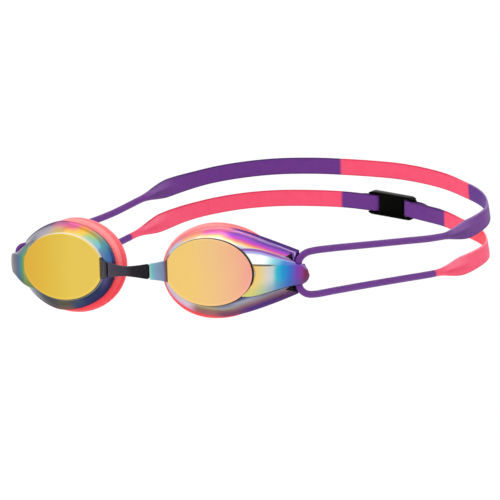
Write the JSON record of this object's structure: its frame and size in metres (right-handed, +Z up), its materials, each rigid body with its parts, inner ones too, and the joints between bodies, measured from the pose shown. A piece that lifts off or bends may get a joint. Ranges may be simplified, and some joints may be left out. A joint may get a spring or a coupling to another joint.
{
  "type": "swim goggles",
  "caption": "Racing swim goggles with mirrored one-piece eyecups, silicone gaskets, a flexible nose bridge and a split two-colour silicone strap with a back buckle.",
  "frame": {"origin": "the nose seat, midway between the two eyecups at the level of their nasal edges", "axes": "-Y forward through the lenses, +Y back towards the head and the buckle, +Z up, X across the face"},
  "size_m": [0.1644, 0.2244, 0.0515],
  "materials": {
    "mirror_lens": "mirror-coated clear polycarbonate, gold to iridescent",
    "gasket_silicone": "soft satin silicone",
    "bridge_rubber": "satin moulded elastomer",
    "strap_purple": "satin silicone",
    "strap_pink": "satin silicone",
    "buckle_plastic": "gloss moulded plastic"
  },
  "bodies": {
    "strap_loops": {"strap_loop_left": "strap_purple", "strap_loop_right": "strap_purple"},
    "lens_left": {"eyecup_left": "mirror_lens", "gasket_left": "gasket_silicone"},
    "lens_right": {"eyecup_right": "mirror_lens", "gasket_right": "gasket_silicone"},
    "bridge": {"nose_bridge": "bridge_rubber"},
    "upper_band": {"strap_upper_cord_right": "strap_purple", "strap_upper_right": "strap_purple", "strap_upper_centre": "strap_pink", "strap_upper_left": "strap_purple", "strap_upper_cord_left": "strap_purple"},
    "lower_band": {"strap_lower_cord_right": "strap_purple", "strap_lower_leaf_right": "strap_pink", "strap_lower_leaf_left": "strap_pink", "strap_lower_cord_left": "strap_purple"},
    "buckle_body": {"buckle": "buckle_plastic", "strap_end_right": "strap_purple", "strap_end_left": "strap_purple"},
    "tail_right": {"strap_tail_right": "strap_purple"},
    "tail_left": {"strap_tail_left": "strap_purple"}
  },
  "joints": [
    {"name": "lens_left_swivel", "type": "hinge", "parent": "strap_loops", "child": "lens_left", "pos_m": [-0.076, 0.0184, -0.0011], "axis": [0, 0, 1], "range_deg": [-1.7, 1.7], "stiffness_Nm_per_rad": 0.2},
    {"name": "lens_right_swivel", "type": "hinge", "parent": "strap_loops", "child": "lens_right", "pos_m": [0.076, 0.0184, -0.0011], "axis": [0, 0, 1], "range_deg": [-1.7, 1.7]},
    {"name": "bridge_slide", "type": "slide", "parent": "strap_loops", "child": "bridge", "axis": [0, 1, 0], "range_m": [-0.002, 0.002]},
    {"name": "upper_band_lift", "type": "hinge", "parent": "strap_loops", "child": "upper_band", "pos_m": [0, 0.0184, 0.0027], "axis": [1, 0, 0], "range_deg": [0, 22]},
    {"name": "lower_band_drop", "type": "hinge", "parent": "strap_loops", "child": "lower_band", "pos_m": [0, 0.0184, -0.0049], "axis": [1, 0, 0], "range_deg": [-25, 0]},
    {"name": "buckle_twist", "type": "hinge", "parent": "lower_band", "child": "buckle_body", "pos_m": [-0.0048, 0.21291, 0.00816], "axis": [0.9908, 0.0364, -0.1303], "range_deg": [-12, 12], "stiffness_Nm_per_rad": 0.002},
    {"name": "tail_right_pull", "type": "slide", "parent": "buckle_body", "child": "tail_right", "axis": [0.9789, -0.1407, -0.148], "range_m": [0, 0.006]},
    {"name": "tail_left_pull", "type": "slide", "parent": "buckle_body", "child": "tail_left", "axis": [-0.9729, -0.2122, 0.0915], "range_m": [0, 0.006]}
  ],
  "couplings": [
    {"joint": "lens_right_swivel", "follows": "lens_left_swivel", "ratio": -1},
    {"joint": "bridge_slide", "follows": "lens_left_swivel", "m_per_rad": 0.066}
  ]
}
